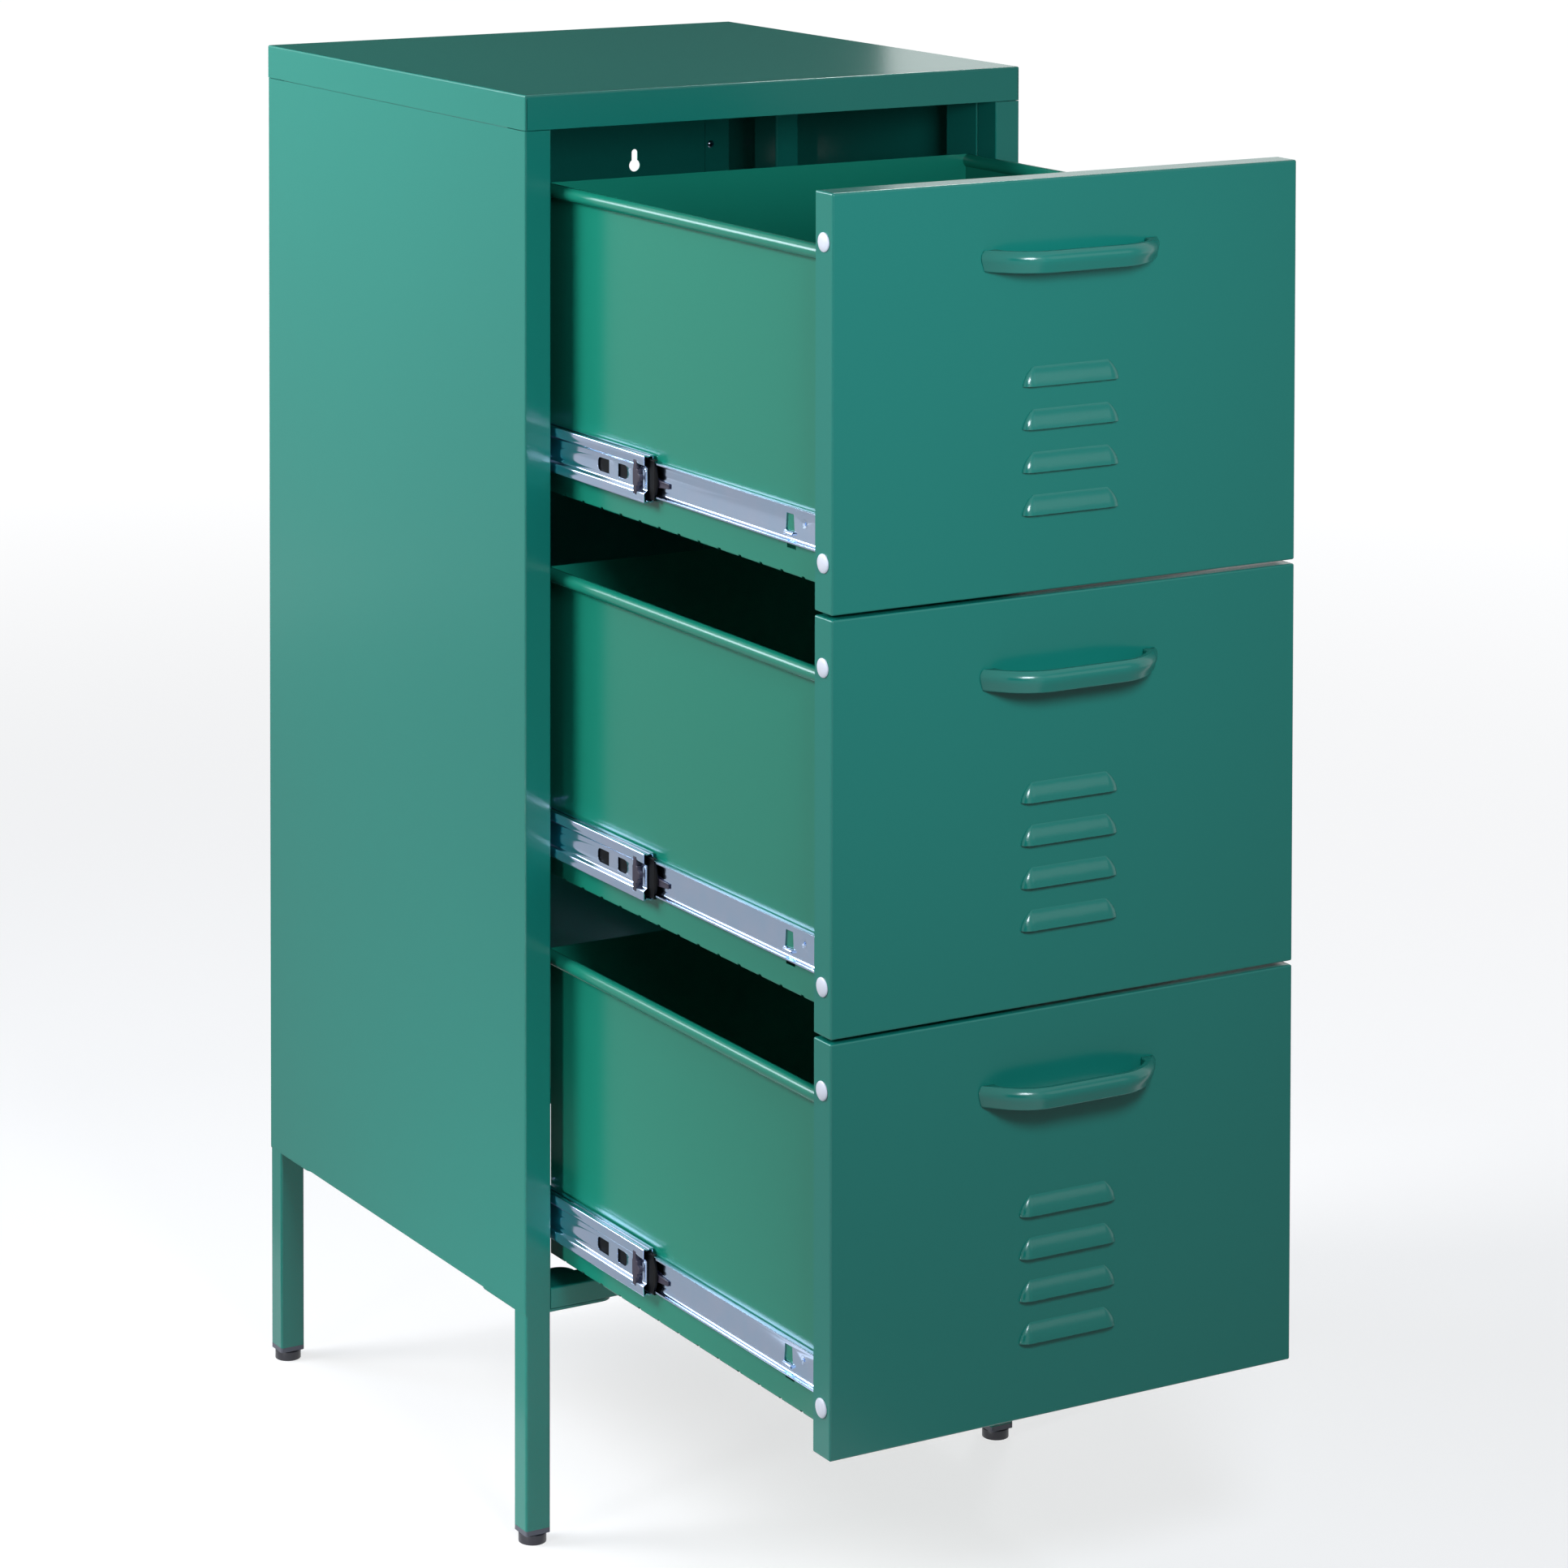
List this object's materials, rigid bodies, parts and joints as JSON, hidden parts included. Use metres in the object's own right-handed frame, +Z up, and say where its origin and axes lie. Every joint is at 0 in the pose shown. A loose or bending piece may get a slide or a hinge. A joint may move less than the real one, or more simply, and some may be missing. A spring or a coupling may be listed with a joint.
{
  "type": "three-drawer metal cabinet",
  "caption": "Sheet-steel drawer cabinet on square legs, with louvred drawers that pull right out on ball-bearing slides, bow handles and levelling feet.",
  "frame": {"origin": "on the floor, under the middle of the cabinet with its drawers fully open", "axes": "+Z up, drawers open towards -Y, +X to the right seen from the front"},
  "size_m": [0.46, 0.8887, 1.135],
  "materials": {
    "green_powder_coat": "satin dark green powder coat on pressed sheet steel",
    "zinc_plated_steel": "bright zinc plate on roll-formed and turned steel",
    "dark_grey_plastic": "moulded polyethylene",
    "black_plastic": "moulded nylon",
    "white_nylon": "moulded natural nylon"
  },
  "bodies": {
    "cabinet": {"top_lid": "green_powder_coat", "side_panel_left": "green_powder_coat", "side_panel_right": "green_powder_coat", "back_panel": "green_powder_coat", "front_rail": "green_powder_coat", "slide_uprights_left": "green_powder_coat", "slide_uprights_right": "green_powder_coat", "panel_screws": "zinc_plated_steel", "leg_screws": "zinc_plated_steel", "slide_mount_screws": "zinc_plated_steel", "leg_front_left": "green_powder_coat", "leg_front_right": "green_powder_coat", "leg_rear_left": "green_powder_coat", "leg_rear_right": "green_powder_coat", "leg_caps": "dark_grey_plastic", "cabinet_members_top": "zinc_plated_steel", "cabinet_members_middle": "zinc_plated_steel", "cabinet_members_bottom": "zinc_plated_steel"},
    "drawer_top": {"drawer_front_top": "green_powder_coat", "drawer_box_top": "green_powder_coat", "handle_top": "green_powder_coat", "drawer_fasteners_top": "zinc_plated_steel", "side_buffers_top": "white_nylon", "drawer_members_top": "zinc_plated_steel"},
    "middle_slides_top": {"middle_members_top": "zinc_plated_steel", "middle_stops_top": "black_plastic"},
    "outer_cages_top": {"outer_ball_cages_top": "zinc_plated_steel"},
    "inner_cages_top": {"inner_ball_cages_top": "black_plastic"},
    "lever_left_top": {"release_lever_left_top": "black_plastic"},
    "lever_right_top": {"release_lever_right_top": "black_plastic"},
    "drawer_middle": {"drawer_front_middle": "green_powder_coat", "drawer_box_middle": "green_powder_coat", "handle_middle": "green_powder_coat", "drawer_fasteners_middle": "zinc_plated_steel", "side_buffers_middle": "white_nylon", "drawer_members_middle": "zinc_plated_steel"},
    "middle_slides_middle": {"middle_members_middle": "zinc_plated_steel", "middle_stops_middle": "black_plastic"},
    "outer_cages_middle": {"outer_ball_cages_middle": "zinc_plated_steel"},
    "inner_cages_middle": {"inner_ball_cages_middle": "black_plastic"},
    "lever_left_middle": {"release_lever_left_middle": "black_plastic"},
    "lever_right_middle": {"release_lever_right_middle": "black_plastic"},
    "drawer_bottom": {"drawer_front_bottom": "green_powder_coat", "drawer_box_bottom": "green_powder_coat", "handle_bottom": "green_powder_coat", "drawer_fasteners_bottom": "zinc_plated_steel", "side_buffers_bottom": "white_nylon", "drawer_members_bottom": "zinc_plated_steel"},
    "middle_slides_bottom": {"middle_members_bottom": "zinc_plated_steel", "middle_stops_bottom": "black_plastic"},
    "outer_cages_bottom": {"outer_ball_cages_bottom": "zinc_plated_steel"},
    "inner_cages_bottom": {"inner_ball_cages_bottom": "black_plastic"},
    "lever_left_bottom": {"release_lever_left_bottom": "black_plastic"},
    "lever_right_bottom": {"release_lever_right_bottom": "black_plastic"},
    "foot_front_left": {"levelling_foot_front_left": "black_plastic"},
    "foot_front_right": {"levelling_foot_front_right": "black_plastic"},
    "foot_rear_left": {"levelling_foot_rear_left": "black_plastic"},
    "foot_rear_right": {"levelling_foot_rear_right": "black_plastic"}
  },
  "joints": [
    {"name": "drawer_slide_top", "type": "slide", "parent": "cabinet", "child": "drawer_top", "axis": [0, -1, 0], "range_m": [-0.4, 0]},
    {"name": "middle_slide_top", "type": "slide", "parent": "cabinet", "child": "middle_slides_top", "axis": [0, -1, 0], "range_m": [-0.172, 0]},
    {"name": "outer_cage_slide_top", "type": "slide", "parent": "cabinet", "child": "outer_cages_top", "axis": [0, -1, 0], "range_m": [-0.086, 0]},
    {"name": "inner_cage_slide_top", "type": "slide", "parent": "cabinet", "child": "inner_cages_top", "axis": [0, -1, 0], "range_m": [-0.286, 0]},
    {"name": "release_lever_left_top", "type": "hinge", "parent": "drawer_top", "child": "lever_left_top", "pos_m": [-0.1956, -0.092, 0.858], "axis": [1, 0, 0], "range_deg": [-3, 3], "stiffness_Nm_per_rad": 0.5},
    {"name": "release_lever_right_top", "type": "hinge", "parent": "drawer_top", "child": "lever_right_top", "pos_m": [0.1956, -0.092, 0.858], "axis": [1, 0, 0], "range_deg": [-3, 3], "stiffness_Nm_per_rad": 0.5},
    {"name": "drawer_slide_middle", "type": "slide", "parent": "cabinet", "child": "drawer_middle", "axis": [0, -1, 0], "range_m": [-0.4, 0]},
    {"name": "middle_slide_middle", "type": "slide", "parent": "cabinet", "child": "middle_slides_middle", "axis": [0, -1, 0], "range_m": [-0.172, 0]},
    {"name": "outer_cage_slide_middle", "type": "slide", "parent": "cabinet", "child": "outer_cages_middle", "axis": [0, -1, 0], "range_m": [-0.086, 0]},
    {"name": "inner_cage_slide_middle", "type": "slide", "parent": "cabinet", "child": "inner_cages_middle", "axis": [0, -1, 0], "range_m": [-0.286, 0]},
    {"name": "release_lever_left_middle", "type": "hinge", "parent": "drawer_middle", "child": "lever_left_middle", "pos_m": [-0.1956, -0.092, 0.557], "axis": [1, 0, 0], "range_deg": [-3, 3], "stiffness_Nm_per_rad": 0.5},
    {"name": "release_lever_right_middle", "type": "hinge", "parent": "drawer_middle", "child": "lever_right_middle", "pos_m": [0.1956, -0.092, 0.557], "axis": [1, 0, 0], "range_deg": [-3, 3], "stiffness_Nm_per_rad": 0.5},
    {"name": "drawer_slide_bottom", "type": "slide", "parent": "cabinet", "child": "drawer_bottom", "axis": [0, -1, 0], "range_m": [-0.4, 0]},
    {"name": "middle_slide_bottom", "type": "slide", "parent": "cabinet", "child": "middle_slides_bottom", "axis": [0, -1, 0], "range_m": [-0.172, 0]},
    {"name": "outer_cage_slide_bottom", "type": "slide", "parent": "cabinet", "child": "outer_cages_bottom", "axis": [0, -1, 0], "range_m": [-0.086, 0]},
    {"name": "inner_cage_slide_bottom", "type": "slide", "parent": "cabinet", "child": "inner_cages_bottom", "axis": [0, -1, 0], "range_m": [-0.286, 0]},
    {"name": "release_lever_left_bottom", "type": "hinge", "parent": "drawer_bottom", "child": "lever_left_bottom", "pos_m": [-0.1956, -0.092, 0.256], "axis": [1, 0, 0], "range_deg": [-3, 3], "stiffness_Nm_per_rad": 0.5},
    {"name": "release_lever_right_bottom", "type": "hinge", "parent": "drawer_bottom", "child": "lever_right_bottom", "pos_m": [0.1956, -0.092, 0.256], "axis": [1, 0, 0], "range_deg": [-3, 3], "stiffness_Nm_per_rad": 0.5},
    {"name": "foot_height_front_left", "type": "slide", "parent": "cabinet", "child": "foot_front_left", "axis": [0, 0, -1], "range_m": [0, 0.012]},
    {"name": "foot_height_front_right", "type": "slide", "parent": "cabinet", "child": "foot_front_right", "axis": [0, 0, -1], "range_m": [0, 0.012]},
    {"name": "foot_height_rear_left", "type": "slide", "parent": "cabinet", "child": "foot_rear_left", "axis": [0, 0, -1], "range_m": [0, 0.012]},
    {"name": "foot_height_rear_right", "type": "slide", "parent": "cabinet", "child": "foot_rear_right", "axis": [0, 0, -1], "range_m": [0, 0.012]}
  ],
  "couplings": [
    {"joint": "middle_slide_top", "follows": "drawer_slide_top", "ratio": 0.43},
    {"joint": "outer_cage_slide_top", "follows": "drawer_slide_top", "ratio": 0.215},
    {"joint": "inner_cage_slide_top", "follows": "drawer_slide_top", "ratio": 0.715},
    {"joint": "middle_slide_middle", "follows": "drawer_slide_middle", "ratio": 0.43},
    {"joint": "outer_cage_slide_middle", "follows": "drawer_slide_middle", "ratio": 0.215},
    {"joint": "inner_cage_slide_middle", "follows": "drawer_slide_middle", "ratio": 0.715},
    {"joint": "middle_slide_bottom", "follows": "drawer_slide_bottom", "ratio": 0.43},
    {"joint": "outer_cage_slide_bottom", "follows": "drawer_slide_bottom", "ratio": 0.215},
    {"joint": "inner_cage_slide_bottom", "follows": "drawer_slide_bottom", "ratio": 0.715}
  ]
}
